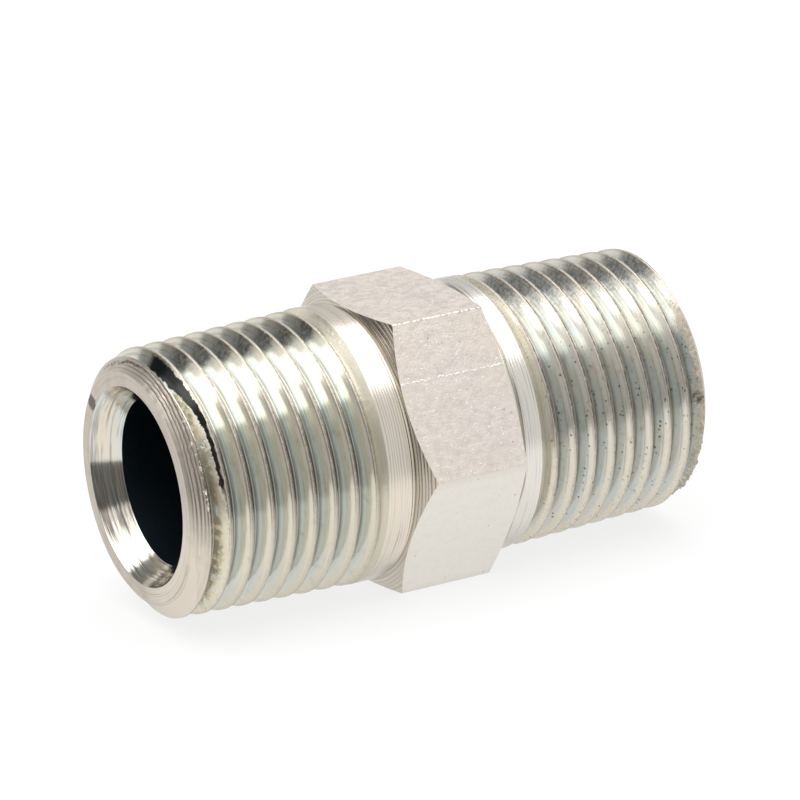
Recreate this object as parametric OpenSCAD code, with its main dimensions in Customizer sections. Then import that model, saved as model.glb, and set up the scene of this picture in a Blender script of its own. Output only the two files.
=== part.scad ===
// Hexagon nipple with a tapered pipe thread on each end, turned in one piece from hexagon bar.
// The bore runs along X, the end with the visible seat is at -X, and the part lies on a flat.
// The origin is the middle of the part, on the bore's axis.

/* [Hexagon] */
// Distance across the flats
hex_across_flats = 17.46; // [17:0.02:19]
// Length of the hexagon along the bore
hex_length = 7.45; // [6:0.05:14]
// Angle of the turned corner chamfers at the near end, measured from the end face
near_hex_chamfer_angle = 27; // [10:1:45]
// Angle of the turned corner chamfers at the far end, measured from the end face
far_hex_chamfer_angle = 17; // [10:1:45]

/* [Collars] */
// How far the plain collars lie under the flats
collar_drop = 0.01; // [0.01:0.01:0.2]
// Length of the collar towards the near end
near_collar_length = 1.9; // [1:0.05:4]
// Length of the collar towards the far end
far_collar_length = 1.45; // [1:0.05:4]
// Width of the relief groove at the foot of the hexagon
relief_width = 0.3; // [0.1:0.05:0.8]
// Depth of the relief groove
relief_depth = 0.15; // [0.05:0.01:0.4]

/* [Thread] */
// Pitch, 18 threads to the inch
thread_pitch = 1.4111; // [1.2:0.0001:1.6]
// Diameter over the crests at the end face
crest_diameter = 16.6; // [16:0.01:17]
// Growth in diameter for each millimetre of length
thread_taper = 0.0625; // [0:0.0005:0.07]
// Angle between the two flanks
thread_angle = 60; // [55:1:65]
// Width of the flat on the crests
crest_flat = 0.15; // [0.08:0.01:0.25]
// Width of the flat in the roots
root_flat = 0.12; // [0.06:0.01:0.25]
// Angle at which a crest passes the near end face
near_start_angle = 354; // [0:1:359]
// Angle at which a crest passes the far end face
far_start_angle = 212; // [0:1:359]

/* [Ends] */
// Length from the near end face to the hexagon
near_length = 14.65; // [10:0.05:20]
// Length from the far end face to the hexagon
far_length = 14.4; // [10:0.05:20]
// Outer diameter of the flat ring on each end face
ring_diameter = 14.25; // [13.4:0.05:15]
// Angle of the outer chamfers, measured from the end faces
end_chamfer_angle = 35; // [15:1:45]

/* [Bore] */
// Diameter of the through bore
bore_diameter = 10.5; // [8:0.1:11.5]
// Diameter of each conical seat at its mouth
seat_diameter = 12.5; // [12:0.05:13]
// Angle between opposite sides of each seat
seat_angle = 60; // [50:1:90]

/* [Hidden] */

// Facets in one turn of the thread
turn_steps = 48;
// Turns that are worked out past each end of a thread, where they are held at the end
spare_turns = 2;
// Corners closer than this are one corner
same_place = 1e-6;
// Round surfaces
round_steps = 96;
// How far one body reaches into the next, so that they join
joining = 0.2;
// How far a cutting tool reaches past the part
overrun = 1;

total_length = near_length + hex_length + far_length;
near_face_x = -total_length / 2;
far_face_x = total_length / 2;
hex_near_x = near_face_x + near_length;
hex_far_x = hex_near_x + hex_length;

flat_radius = hex_across_flats / 2;
corner_radius = flat_radius / cos(180 / 6);
collar_radius = flat_radius - collar_drop;
relief_radius = collar_radius - relief_depth;
ring_radius = ring_diameter / 2;
bore_radius = bore_diameter / 2;
seat_radius = seat_diameter / 2;
seat_depth = (seat_radius - bore_radius) / tan(seat_angle / 2);

flank_run = (thread_pitch - crest_flat - root_flat) / 2;
thread_depth = flank_run / tan(thread_angle / 2);
// Corners of the thread form in one pitch, from the middle of its crest
form_corners = [
    -crest_flat / 2,
    crest_flat / 2,
    crest_flat / 2 + flank_run,
    crest_flat / 2 + flank_run + root_flat
];

// Radius over the crests, x being the distance from the end face
function crest_radius(x) = crest_diameter / 2 + thread_taper / 2 * x;

// Height of the thread form over the root, for a distance from the middle of a crest
function form_height(off) =
    let (d = abs(off))
    d <= crest_flat / 2 ? thread_depth :
    d >= crest_flat / 2 + flank_run ? 0 :
    thread_depth * (crest_flat / 2 + flank_run - d) / flank_run;

// Distance along the bore from x to the nearest crest, on the ray at angle a
function crest_offset(a, x, start) =
    let (turns = x / thread_pitch - (a - start) / 360)
    (turns - round(turns)) * thread_pitch;

function thread_radius(a, x, start) =
    crest_radius(x) - thread_depth + form_height(crest_offset(a, x, start));

function chamfer_radius(x) = ring_radius + x / tan(end_chamfer_angle);

// How far the thread form stands out of the end chamfer
function over_chamfer(a, x, start) = thread_radius(a, x, start) - chamfer_radius(x);

// Where the form passes the chamfer on the straight stretch from x to the next corner
function chamfer_crossing(a, x, next, start) =
    let (
        here = over_chamfer(a, x, start),
        there = over_chamfer(a, next, start)
    )
    x + (next - x) * here / (here - there);

// The place of a corner at x, which slides to the chamfer where the chamfer cuts it off
function kept_place(a, before, x, after, start) =
    over_chamfer(a, x, start) <= 0 ? x :
    over_chamfer(a, before, start) < 0 ? chamfer_crossing(a, x, before, start) :
    over_chamfer(a, after, start) < 0 ? chamfer_crossing(a, x, after, start) :
    x;

function on_ray(a, x, r) = [x, r * cos(a), r * sin(a)];

// The corners of the thread form on one ray, cut by the chamfer and held between the two ends
function ray_points(a, start, length, turns) =
    let (
        places = [
            for (turn = [-spare_turns : turns + spare_turns], corner = form_corners)
            min(max(thread_pitch * (turn + (a - start) / 360) + corner, 0), length)
        ],
        last = len(places) - 1
    )
    [
        for (i = [0 : last])
        let (x = kept_place(a, places[max(i - 1, 0)], places[i], places[min(i + 1, last)], start))
        on_ray(a, x, min(thread_radius(a, x, start), chamfer_radius(x)))
    ];

// A right-hand tapered thread on a solid core, from its end face at x = 0 to x = length
module threaded_stub(length, start) {
    turns = ceil(length / thread_pitch);
    row = len(form_corners) * (turns + 2 * spare_turns + 1);
    thread_points = [
        for (i = [0 : turn_steps - 1])
        each ray_points(360 * i / turn_steps, start, length, turns)
    ];
    points = concat(thread_points, [[0, 0, 0], [length, 0, 0]]);
    face_centre = turn_steps * row;
    end_centre = face_centre + 1;

    // The last ray joins the first one turn further on
    function thread_index(i, j) =
        i < turn_steps ? i * row + j : min(j + len(form_corners), row - 1);

    triangles = [
        for (i = [0 : turn_steps - 1])
        each concat(
            [
                for (j = [0 : row - 2])
                each [
                    [thread_index(i, j), thread_index(i, j + 1), thread_index(i + 1, j)],
                    [thread_index(i, j + 1), thread_index(i + 1, j + 1), thread_index(i + 1, j)]
                ]
            ],
            [
                [face_centre, thread_index(i, 0), thread_index(i + 1, 0)],
                [end_centre, thread_index(i + 1, row - 1), thread_index(i, row - 1)]
            ]
        )
    ];
    // Corners held at an end fall together, and their triangles are left out
    whole = [
        for (t = triangles)
        if (norm(points[t[0]] - points[t[1]]) > same_place
            && norm(points[t[1]] - points[t[2]]) > same_place
            && norm(points[t[2]] - points[t[0]]) > same_place)
        t
    ];
    polyhedron(points, whole);
}

// A solid of revolution about the bore, from an outline of [x, radius] points
module turned(outline) {
    rotate([0, 90, 0])
    rotate_extrude($fn = round_steps)
    polygon([for (p = outline) [p[1], p[0]]]);
}

module hexagon() {
    chamfer_height = corner_radius + overrun - relief_radius;
    intersection() {
        translate([hex_near_x, 0, 0])
        rotate([0, 90, 0])
        rotate([0, 0, 180 / 6])
        cylinder(h = hex_length, r = corner_radius, $fn = 6);
        turned([
            [hex_near_x, 0],
            [hex_near_x, relief_radius],
            [hex_near_x + chamfer_height * tan(near_hex_chamfer_angle), corner_radius + overrun],
            [hex_far_x - chamfer_height * tan(far_hex_chamfer_angle), corner_radius + overrun],
            [hex_far_x, relief_radius],
            [hex_far_x, 0]
        ]);
    }
}

// A plain collar with the relief groove at its foot, from x = 0 to x = length at the hexagon
module collar(length) {
    turned([
        [0, 0],
        [0, collar_radius],
        [length - relief_width, collar_radius],
        [length - relief_width / 2, relief_radius],
        [length + joining, relief_radius],
        [length + joining, 0]
    ]);
}

// Everything on one side of the hexagon, from its end face at x = 0
module stub(length, collar_length, start) {
    threaded_stub(length - collar_length + joining, start);
    translate([length - collar_length, 0, 0])
    collar(collar_length);
}

module bore_and_seats() {
    seat_overrun = overrun * tan(seat_angle / 2);
    turned([
        [near_face_x - overrun, 0],
        [near_face_x - overrun, seat_radius + seat_overrun],
        [near_face_x + seat_depth, bore_radius],
        [far_face_x - seat_depth, bore_radius],
        [far_face_x + overrun, seat_radius + seat_overrun],
        [far_face_x + overrun, 0]
    ]);
}

module hex_nipple() {
    color("#cfcabf")
    difference() {
        union() {
            hexagon();
            translate([near_face_x, 0, 0])
            stub(near_length, near_collar_length, near_start_angle);
            translate([far_face_x, 0, 0])
            rotate([0, 0, 180])
            stub(far_length, far_collar_length, far_start_angle);
        }
        bore_and_seats();
    }
}

hex_nipple();
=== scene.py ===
"""A hexagon pipe nipple of zinc plated steel: two cut threads, a hexagon between collars, seats and bore."""

import math
from functools import reduce

import bmesh
import bpy
from bpy.props import FloatProperty, PointerProperty, StringProperty
from mathutils import Euler, Matrix, Vector, noise


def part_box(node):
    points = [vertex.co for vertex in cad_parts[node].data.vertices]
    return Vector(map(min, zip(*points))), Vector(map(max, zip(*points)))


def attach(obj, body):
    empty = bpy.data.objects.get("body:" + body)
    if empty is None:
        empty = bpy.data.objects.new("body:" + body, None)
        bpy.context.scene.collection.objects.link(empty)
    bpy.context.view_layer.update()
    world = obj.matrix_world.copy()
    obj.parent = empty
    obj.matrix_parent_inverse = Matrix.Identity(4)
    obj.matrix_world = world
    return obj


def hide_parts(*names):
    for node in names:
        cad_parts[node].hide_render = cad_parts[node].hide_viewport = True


bl_info = {
    "name": "Hexagon pipe nipple",
    "version": (1, 0, 0),
    "blender": (4, 5, 0),
    "location": "3D View > Sidebar > Nipple",
    "description": "Models a zinc plated hexagon pipe nipple with real helical threads",
    "category": "Object",
}

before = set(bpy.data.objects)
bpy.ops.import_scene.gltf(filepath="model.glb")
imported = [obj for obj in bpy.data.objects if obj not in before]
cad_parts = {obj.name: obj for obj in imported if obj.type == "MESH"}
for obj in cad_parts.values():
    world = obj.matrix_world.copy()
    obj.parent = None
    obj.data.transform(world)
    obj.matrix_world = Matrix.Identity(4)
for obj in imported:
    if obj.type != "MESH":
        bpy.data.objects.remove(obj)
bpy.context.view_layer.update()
NODE = "hex_nipple"
NODE_LOW, NODE_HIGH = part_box(NODE)

MM = 0.001
# Vertices closer than this are one vertex, and angles closer than this are one angle
SAME_PLACE = 0.5e-6
SAME_ANGLE = 1e-4
HEX_CORNERS = 6
# Steps round the part, and rows of faces on each turned corner and on the flats
COLUMNS = 360
CONE_ROWS = 4
FLAT_ROWS = 3
# Turns of thread spun past each end, which are cut away
SPARE_TURNS = 2
# A vertex this little below the end chamfer still has the chamfer's finish
CHAMFER_MARGIN = 0.03 * MM
# Where a blunt tool has torn each first crest: first and last angle in degrees, and depth
NEAR_TEAR = (96, 172, 0.07 * MM)
FAR_TEAR = (292, 352, 0.3 * MM)
# A tear fades over this angle in degrees, reaches this far from the end face and keeps this far off its ring
TEAR_FADE = 8
TEAR_LENGTH = 0.9 * MM
TEAR_FOOT = 0.4 * MM
# Lengths of the jags in a tear
FINE_JAG = 0.22 * MM
COARSE_JAG = 0.6 * MM
SIDE_JAG = 0.3 * MM
# A gritty patch behind the far end face, its distance from that face, and a stain on the near ring; each
# mark is given as distance off the axis, angle in degrees and size
PATCH = (7.85 * MM, 174, 0.9 * MM)
PATCH_INWARD = 0.97 * MM
STAIN = (6.66 * MM, 35.5, 1.05 * MM)
# Edges that turn by more than this stay sharp
SHARP_ANGLE = math.radians(25)

# The finishes in the order of the part's material slots
DRAWN, TURNED, CONE, CUT, FACED, SEAT, BORE = range(7)


def length(name, description, millimetres):
    return FloatProperty(name=name, description=description, default=millimetres * MM,
                         unit="LENGTH", subtype="DISTANCE", precision=5)


def angle(name, description, degrees):
    return FloatProperty(name=name, description=description, default=math.radians(degrees),
                         unit="ROTATION", subtype="ANGLE")


def colour(name, description, hex_value):
    return StringProperty(name=name, description=description, default=hex_value)


class NippleThreadSizes(bpy.types.PropertyGroup):
    pitch: length("Pitch", "Distance from crest to crest", 25.4 / 18)
    crest_diameter: length("Crest diameter", "Across the crests at the end face", 16.6)
    taper: FloatProperty(name="Taper", description="Growth of the diameter per unit of length",
                         default=1 / 16)
    form_angle: angle("Form angle", "Between the two flanks of a groove", 60)
    crest_flat: length("Crest flat", "Width of the flat on a crest", 0.15)
    root_flat: length("Root flat", "Width of the flat in a groove", 0.12)
    edge_break: length("Edge break", "Width of the worn edge beside a flat", 0.035)
    near_start: angle("Near start", "Angle at which the near crest line meets the end face", 354)
    far_start: angle("Far start", "Angle at which the far crest line meets the end face", 212)


class NippleBodySizes(bpy.types.PropertyGroup):
    overall: length("Overall length", "From end face to end face", (NODE_HIGH.x - NODE_LOW.x) / MM)
    across_flats: length("Across flats", "Wrench size of the hexagon", (NODE_HIGH.z - NODE_LOW.z) / MM)
    hex_near: length("Near side of the hexagon", "Place of the hexagon's near side", -3.6)
    hex_far: length("Far side of the hexagon", "Place of the hexagon's far side", 3.85)
    near_chamfer: angle("Near corner chamfer", "Between the near cone and the hexagon's side", 27)
    far_chamfer: angle("Far corner chamfer", "Between the far cone and the hexagon's side", 17)
    corner_break: length("Corner break", "Half the width of the flat on a drawn corner", 0.032)
    collar_drop: length("Collar drop", "How far a collar lies below the flats", 0.01)
    near_collar: length("Near collar", "Length of the near collar", 1.9)
    far_collar: length("Far collar", "Length of the far collar", 1.45)
    relief_width: length("Relief width", "Width of the groove beside the hexagon", 0.3)
    relief_depth: length("Relief depth", "Depth of the groove beside the hexagon", 0.15)
    ring_diameter: length("Ring diameter", "Outside of the flat ring on an end face", 14.25)
    run_out: angle("Run-out", "Between the last groove's cone and the axis", 42)
    end_chamfer: angle("End chamfer", "Between the end chamfer and the end face", 35)
    bore_diameter: length("Bore diameter", "Diameter of the through bore", 10.5)
    seat_diameter: length("Seat diameter", "Mouth of a conical seat", 12.5)
    seat_angle: angle("Seat angle", "Between opposite sides of a seat", 60)


class NippleLooks(bpy.types.PropertyGroup):
    flats: colour("Flats", "Zinc on the hexagon's flats", "#E6DCD2")
    flats_cool: colour("Flats, cool", "Bluish clouds on the flats", "#E1DBD6")
    # Painted light: a brighter tone on the flat below the front one, for the light it catches
    flats_painted_light: colour("Flats, low", "Brighter zinc on the flat below the front one", "#F2EFE6")
    flats_hollow: colour("Flats, hollows", "Darker hollows in the leathery grain", "#A89A8C")
    collars: colour("Collars", "Zinc on turned collars", "#E8DFD3")
    collar_far: colour("Collars, far", "Cooler zinc on the far collar", "#E6E4DD")
    collar_cream: colour("Collars, cream", "Cream streaks on turned collars", "#E4DACA")
    cones: colour("Cones", "Zinc on the hexagon's turned corners", "#D4CCBE")
    faced: colour("Faced ends", "Zinc on the end rings and chamfers", "#C9BFB3")
    # Painted light: the paler tone of the end faces' lower part; it is also the tone of the near thread's
    # first turn
    faced_pale: colour("Faced ends, pale", "Paler zinc on the lower part of the end", "#E2D8CA")
    thread_straw: colour("Thread, straw", "Passivate tint near a crest", "#D8D2C0")
    thread: colour("Thread", "Zinc on the middle of a flank", "#D6D6CC")
    thread_blue: colour("Thread, blue", "Passivate tint near a root", "#D2D9D4")
    far_flank: colour("Far flank", "Cooler passivate tint of the far thread", "#C6CDCB")
    far_khaki: colour("Far flank, khaki", "Warmer clouds on the far thread", "#D0CEC5")
    far_straw: colour("Far flank, straw", "Paler tint near a crest of the far thread", "#E4DCCA")
    crest: colour("Crest", "Rolled-over metal on a crest", "#D8CEC2")
    # Painted shade: the dark lines beside each crest and between the near collar's tool rings; also the
    # colour of real stains, pits, torn metal and a gritty patch
    dark_marks_and_painted_shade: colour("Crest edge", "Dark line along each side of a crest", "#4A3C36")
    root: colour("Root", "Darker line in the bottom of a groove", "#A6A59C")
    # Painted reflection: a paler tone for the last groove beside each collar, for the mid tone it mirrors
    run_out: colour("Run-out", "Duller zinc where a thread ends beside a collar", "#D2CBBA")
    seat: colour("Seat", "Zinc on the bored seat", "#E2D8C8")
    seat_cool: colour("Seat, cool", "Bluish rings on the bored seat", "#D6DAD4")
    seat_line: colour("Seat, lines", "Brown tool lines on the bored seat", "#73665C")
    # The bore's wall is given a dark blue grey
    bore: colour("Bore", "Thin zinc inside the bore", "#4A5A66")
    # Painted glints: near-white specks on the flats' raised bumps and along the score
    glint: colour("Glints", "Burnished bumps and a score on the flats", "#FFFCF3")
    # Also the colour of painted shade: under the collars, on the seat's lower part, on the near cone and in
    # the grooves of the tool rings
    grime_and_painted_shade: colour("Grime", "Oil and grit in pits and scratches", "#4A4038")
    # Also the colour of the painted dark reflection on the near thread's tops
    bare_steel_and_dark_reflection: colour("Bare steel", "Steel that the zinc has not covered", "#141619")
    crust: colour("Crust", "Rough zinc heaped up in the first groove", "#CDC1A4")
    crust_shade: colour("Crust, shade", "Olive grey hollows in rough zinc", "#9C917C")
    flake: colour("Flakes", "Pale flakes of torn zinc", "#EFE7D2")
    rim: colour("Far rim", "Rough zinc on the far rim", "#BDB29E")
    rim_pink: colour("Far rim, pink", "Pinkish zinc on the far rim", "#CFC0B2")


class NippleStage(bpy.types.PropertyGroup):
    azimuth: angle("Azimuth", "Camera direction round the part", -28.99)
    elevation: angle("Elevation", "Camera direction above the floor", 19.09)
    roll: angle("Roll", "Camera turned about its own view line", -2.065)
    distance: length("Distance", "From the camera to the middle of the part", 307.85)
    focal: FloatProperty(name="Focal length", description="Lens in millimetres", default=222.4)
    slide_right: length("Slide right", "Camera moved to its own right", 0.189)
    slide_up: length("Slide up", "Camera moved to its own top", 1.823)
    sky: FloatProperty(name="Sky", description="Brightness of the room round the part", default=0.6)
    top_lamp: FloatProperty(name="Top lamp", description="Brightness of the lamp above", default=2.0)
    left_lamp: FloatProperty(name="Left lamp", description="Brightness of the lamp at the left", default=2.3)
    card_distance: length("Card distance", "From the part to the studio cards", 200)
    table_end: length("Table end", "From the part to the end of the white table", 30)
    table_turn: angle("Table turn", "Direction of the end of the table", -21)
    table_glow: FloatProperty(name="Table glow", description="Share of plain white in the table top",
                              default=0.8)


def stub_columns(bm, count):
    """Sorts the vertices into columns along the axis, one for each step round it."""
    columns = [[] for _ in range(count)]
    for vert in bm.verts:
        turn = math.atan2(vert.co.z, vert.co.y) / math.tau
        columns[round(turn * count) % count].append(vert)
    for column in columns:
        column.sort(key=lambda vert: vert.co.x)
    return columns


def set_radius(vert, radius):
    around = Vector((0, vert.co.y, vert.co.z)).normalized()
    vert.co = Vector((vert.co.x, 0, 0)) + around * radius


def radius_of(vert):
    return math.hypot(vert.co.y, vert.co.z)


def groove_depth(thread):
    run = (thread.pitch - thread.crest_flat - thread.root_flat) / 2
    return run / math.tan(thread.form_angle / 2)


def groove_outline(thread):
    """One pitch of the thread as (distance along the axis, depth below the crest), crest to crest."""
    depth = groove_depth(thread)
    down = thread.edge_break / math.tan(thread.form_angle / 2)
    dark_marks_and_painted_shade = thread.crest_flat / 2
    root_edge = (thread.pitch - thread.root_flat) / 2
    falling = [
        (0, 0),
        (dark_marks_and_painted_shade - thread.edge_break / 2, 0),
        (dark_marks_and_painted_shade + thread.edge_break / 2, down / 2),
        (root_edge - thread.edge_break / 2, depth - down / 2),
        (root_edge + thread.edge_break / 2, depth),
    ]
    rising = [(thread.pitch - along, below) for along, below in reversed(falling)]
    return falling + rising


def spun_thread(thread, start, reach):
    """A helical band of crests and grooves from before the end face to past reach."""
    bm = bmesh.new()
    first = -(SPARE_TURNS + start / math.tau) * thread.pitch
    chain = []
    for along, below in groove_outline(thread):
        chain.append(bm.verts.new((first + along, thread.crest_diameter / 2 - below, 0)))
    edges = [bm.edges.new(pair) for pair in zip(chain, chain[1:])]
    bmesh.ops.spin(bm, geom=chain + edges, cent=(0, 0, 0), axis=(1, 0, 0),
                   dvec=(thread.pitch / COLUMNS, 0, 0), angle=math.tau, steps=COLUMNS, use_merge=False)
    one_turn = bm.verts[:] + bm.edges[:] + bm.faces[:]
    for turn in range(1, math.ceil(reach / thread.pitch) + SPARE_TURNS + 1):
        copy = bmesh.ops.duplicate(bm, geom=one_turn)["geom"]
        moved = [item for item in copy if isinstance(item, bmesh.types.BMVert)]
        bmesh.ops.translate(bm, verts=moved, vec=(turn * thread.pitch, 0, 0))
    bmesh.ops.remove_doubles(bm, verts=bm.verts, dist=SAME_PLACE)
    for vert in bm.verts:
        set_radius(vert, radius_of(vert) + vert.co.x * thread.taper / 2)
    return bm


def crossing(start, end, line):
    """The point between two vertices of a column at which line(x, radius) is zero."""
    here = line(start.x, math.hypot(start.y, start.z))
    there = line(end.x, math.hypot(end.y, end.z))
    return start.lerp(end, here / (here - there))


def cut_column(column, past, moved):
    """Moves each vertex past a line to where its column crosses the line, or else as moved does."""
    places = [vert.co.copy() for vert in column]
    heights = [past(vert.co.x, radius_of(vert)) for vert in column]
    for i, vert in enumerate(column):
        if heights[i] <= 0:
            continue
        beside = [j for j in (i - 1, i + 1) if 0 <= j < len(column) and heights[j] < 0]
        if beside:
            vert.co = crossing(places[i], places[beside[0]], past)
        else:
            moved(vert, heights[i])
    return heights


def trim_outer_end(column, body, on_cone):
    """Cuts a column with the end chamfer, so that the grooves run out through the cone."""
    ring = body.ring_diameter / 2
    slope = 1 / math.tan(body.end_chamfer)

    def outside(x, radius):
        return radius - ring - x * slope

    def lowered(vert, _):
        vert.co.x = max(vert.co.x, 0)
        set_radius(vert, ring + vert.co.x * slope)

    for vert, height in zip(column, cut_column(column, outside, lowered)):
        vert[on_cone] = height > -CHAMFER_MARGIN


def tear_crests(column, body, first, last, depth):
    """Roughens the thin crest at the chamfer between two angles, as a blunt tool leaves it."""
    turn = math.degrees(math.atan2(column[0].co.z, column[0].co.y)) % 360
    strength = min(max((turn - first) / TEAR_FADE, 0), 1) * min(max((last - turn) / TEAR_FADE, 0), 1)
    foot = body.ring_diameter / 2 + TEAR_FOOT
    for vert in column:
        if 0 < vert.co.x < TEAR_LENGTH and radius_of(vert) > foot:
            jag = noise.noise(vert.co / FINE_JAG) + 0.6 * noise.noise(vert.co / COARSE_JAG)
            set_radius(vert, radius_of(vert) - depth * strength * (0.35 + 0.65 * jag))
            vert.co.x += 0.5 * depth * strength * noise.noise(vert.co / SIDE_JAG)


def fill_last_groove(column, reach, collar, slope):
    """Raises the last groove to a cone beside the collar, where the tool left the cut."""
    def under(x, radius):
        return collar - (reach - x) * slope - radius

    def raised(vert, height):
        set_radius(vert, radius_of(vert) + height)

    cut_column(column, under, raised)


def trim_inner_end(column, reach, collar):
    """Ends a column at the collar's side and drops the spare vertices onto the collar's edge."""
    first_past = min(i for i, vert in enumerate(column) if vert.co.x > reach)
    before, past = column[first_past - 1].co, column[first_past].co
    edge = crossing(before, past, lambda x, radius: x - reach)
    column[first_past].co = edge
    rim = Vector((0, edge.y, edge.z)).normalized() * collar
    for vert in column[first_past + 1:]:
        vert.co = Vector((reach, 0, 0)) + rim


def collar_radius(body):
    return body.across_flats / 2 - body.collar_drop


def threaded_end(thread, body, start, reach, tear):
    """One threaded end from its end face at x = 0; tear is (first angle, last angle, depth)."""
    bm = spun_thread(thread, start, reach)
    on_cone = bm.verts.layers.int.new("on_cone")
    for column in stub_columns(bm, COLUMNS):
        trim_outer_end(column, body, on_cone)
        tear_crests(column, body, *tear)
        fill_last_groove(column, reach, collar_radius(body), math.tan(body.run_out))
        trim_inner_end(column, reach, collar_radius(body))
    bmesh.ops.remove_doubles(bm, verts=bm.verts, dist=SAME_PLACE)
    bmesh.ops.dissolve_degenerate(bm, edges=bm.edges, dist=SAME_PLACE)
    for face in bm.faces:
        face.material_index = FACED if all(vert[on_cone] for vert in face.verts) else CUT
    return bm


def spun_outline(rows):
    """Spins a chain of (place along the axis, radius, finish) into rings of faces with those finishes."""
    bm = bmesh.new()
    row_layer = bm.verts.layers.int.new("row")
    chain = []
    for number, (along, radius, _) in enumerate(rows):
        vert = bm.verts.new((along, radius, 0))
        vert[row_layer] = number
        chain.append(vert)
    edges = [bm.edges.new(pair) for pair in zip(chain, chain[1:])]
    bmesh.ops.spin(bm, geom=chain + edges, cent=(0, 0, 0), axis=(1, 0, 0),
                   angle=math.tau, steps=COLUMNS, use_merge=True)
    for face in bm.faces:
        face.material_index = rows[min(vert[row_layer] for vert in face.verts)][2]
    return bm


def piece_from(bm, name):
    mesh = bpy.data.meshes.new(name)
    bm.to_mesh(mesh)
    bm.free()
    piece = bpy.data.objects.new(name, mesh)
    bpy.context.scene.collection.objects.link(piece)
    return piece


class NIPPLE_OT_threads(bpy.types.Operator):
    """Cut the tapered threads of both ends"""

    bl_idname = "nipple.threads"
    bl_label = "Cut threads"

    def execute(self, context):
        thread = context.scene.nipple_thread
        body = context.scene.nipple_body
        half = body.overall / 2
        near_reach = body.hex_near - body.near_collar + half
        far_reach = half - body.hex_far - body.far_collar
        near = threaded_end(thread, body, thread.near_start, near_reach, NEAR_TEAR)
        far = threaded_end(thread, body, thread.far_start, far_reach, FAR_TEAR)
        for bm in (near, far):
            bmesh.ops.translate(bm, verts=bm.verts, vec=(-half, 0, 0))
        # Half a turn about Z takes the second one to the far end
        bmesh.ops.scale(far, verts=far.verts, vec=(-1, -1, 1))
        piece_from(near, "near_thread")
        piece_from(far, "far_thread")
        return {"FINISHED"}


def hexagon_outline(body):
    """The middle of the part from collar to collar: rows of (place along the axis, radius, finish)."""
    collar = collar_radius(body)
    relief = collar - body.relief_depth
    near = body.hex_near
    far = body.hex_far
    near_side = [
        (near - body.near_collar, collar, TURNED),
        (near - body.relief_width, collar, TURNED),
        (near - body.relief_width / 2, relief, TURNED),
    ]
    far_side = [
        (far + body.relief_width / 2, relief, TURNED),
        (far + body.relief_width, collar, TURNED),
        (far + body.far_collar, collar, TURNED),
    ]
    # The hexagon's own rows start on the relief, and turned_middle draws them out to its corners
    near_cone = [(near, relief, CONE)] * CONE_ROWS
    flats = [(near, relief, DRAWN)] * FLAT_ROWS
    far_cone = [(far, relief, CONE)] * CONE_ROWS + [(far, relief, TURNED)]
    return near_side + near_cone + flats + far_cone + far_side, len(near_side)


def turned_middle(body):
    """The hexagon with its turned corners, relief grooves and collars, shaped from one spun outline."""
    rows, before = hexagon_outline(body)
    bm = spun_outline(rows)
    row_layer = bm.verts.layers.int["row"]
    relief = collar_radius(body) - body.relief_depth
    half_side = math.pi / HEX_CORNERS
    step = math.tau / COLUMNS
    broken = body.corner_break * 2 * math.cos(half_side) / body.across_flats
    for vert in bm.verts:
        number = vert[row_layer] - before
        past_corner = math.remainder(math.atan2(vert.co.z, vert.co.y), 2 * half_side)
        # The columns beside a corner move to the edges of its narrow flat
        if 0 < number < 2 * CONE_ROWS + FLAT_ROWS and abs(abs(past_corner) - step) < SAME_ANGLE:
            slid = math.copysign(broken, past_corner)
            vert.co = Matrix.Rotation(slid - past_corner, 3, "X") @ vert.co
            past_corner = slid
        # The radius of the flat at this angle, and where the turned corners meet it
        to_corner = max(abs(past_corner), broken)
        edge = body.across_flats / 2 / math.cos(half_side - to_corner)
        near_edge = body.hex_near + (edge - relief) * math.tan(body.near_chamfer)
        far_edge = body.hex_far - (edge - relief) * math.tan(body.far_chamfer)
        if 0 <= number <= CONE_ROWS:
            share = number / CONE_ROWS
            vert.co.x = body.hex_near + (near_edge - body.hex_near) * share
            set_radius(vert, relief + (edge - relief) * share)
        elif CONE_ROWS < number < CONE_ROWS + FLAT_ROWS:
            share = (number - CONE_ROWS) / FLAT_ROWS
            vert.co.x = near_edge + (far_edge - near_edge) * share
            set_radius(vert, edge)
        elif CONE_ROWS + FLAT_ROWS <= number <= 2 * CONE_ROWS + FLAT_ROWS:
            share = (number - CONE_ROWS - FLAT_ROWS) / CONE_ROWS
            vert.co.x = far_edge + (body.hex_far - far_edge) * share
            set_radius(vert, edge + (relief - edge) * share)
    bmesh.ops.remove_doubles(bm, verts=bm.verts, dist=SAME_PLACE)
    bmesh.ops.dissolve_degenerate(bm, edges=bm.edges, dist=SAME_PLACE)
    return bm


class NIPPLE_OT_hexagon(bpy.types.Operator):
    """Turn the hexagon with its collars and relief grooves"""

    bl_idname = "nipple.hexagon"
    bl_label = "Turn hexagon"

    def execute(self, context):
        piece_from(turned_middle(context.scene.nipple_body), "hexagon")
        return {"FINISHED"}


class NIPPLE_OT_bore(bpy.types.Operator):
    """Drill the bore, and cut the seats and the flat rings on the end faces"""

    bl_idname = "nipple.bore"
    bl_label = "Drill bore"

    def execute(self, context):
        body = context.scene.nipple_body
        half = body.overall / 2
        ring = body.ring_diameter / 2
        mouth = body.seat_diameter / 2
        bore = body.bore_diameter / 2
        depth = (mouth - bore) / math.tan(body.seat_angle / 2)
        outline = [
            (-half, ring, FACED),
            (-half, mouth, SEAT),
            (-half + depth, bore, BORE),
            (half - depth, bore, SEAT),
            (half, mouth, FACED),
            (half, ring, FACED),
        ]
        piece_from(spun_outline(outline), "bore")
        return {"FINISHED"}


def mark_sharp_edges(bm):
    for face in bm.faces:
        face.smooth = True
    for edge in bm.edges:
        edge.smooth = edge.calc_face_angle(0) < SHARP_ANGLE


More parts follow.
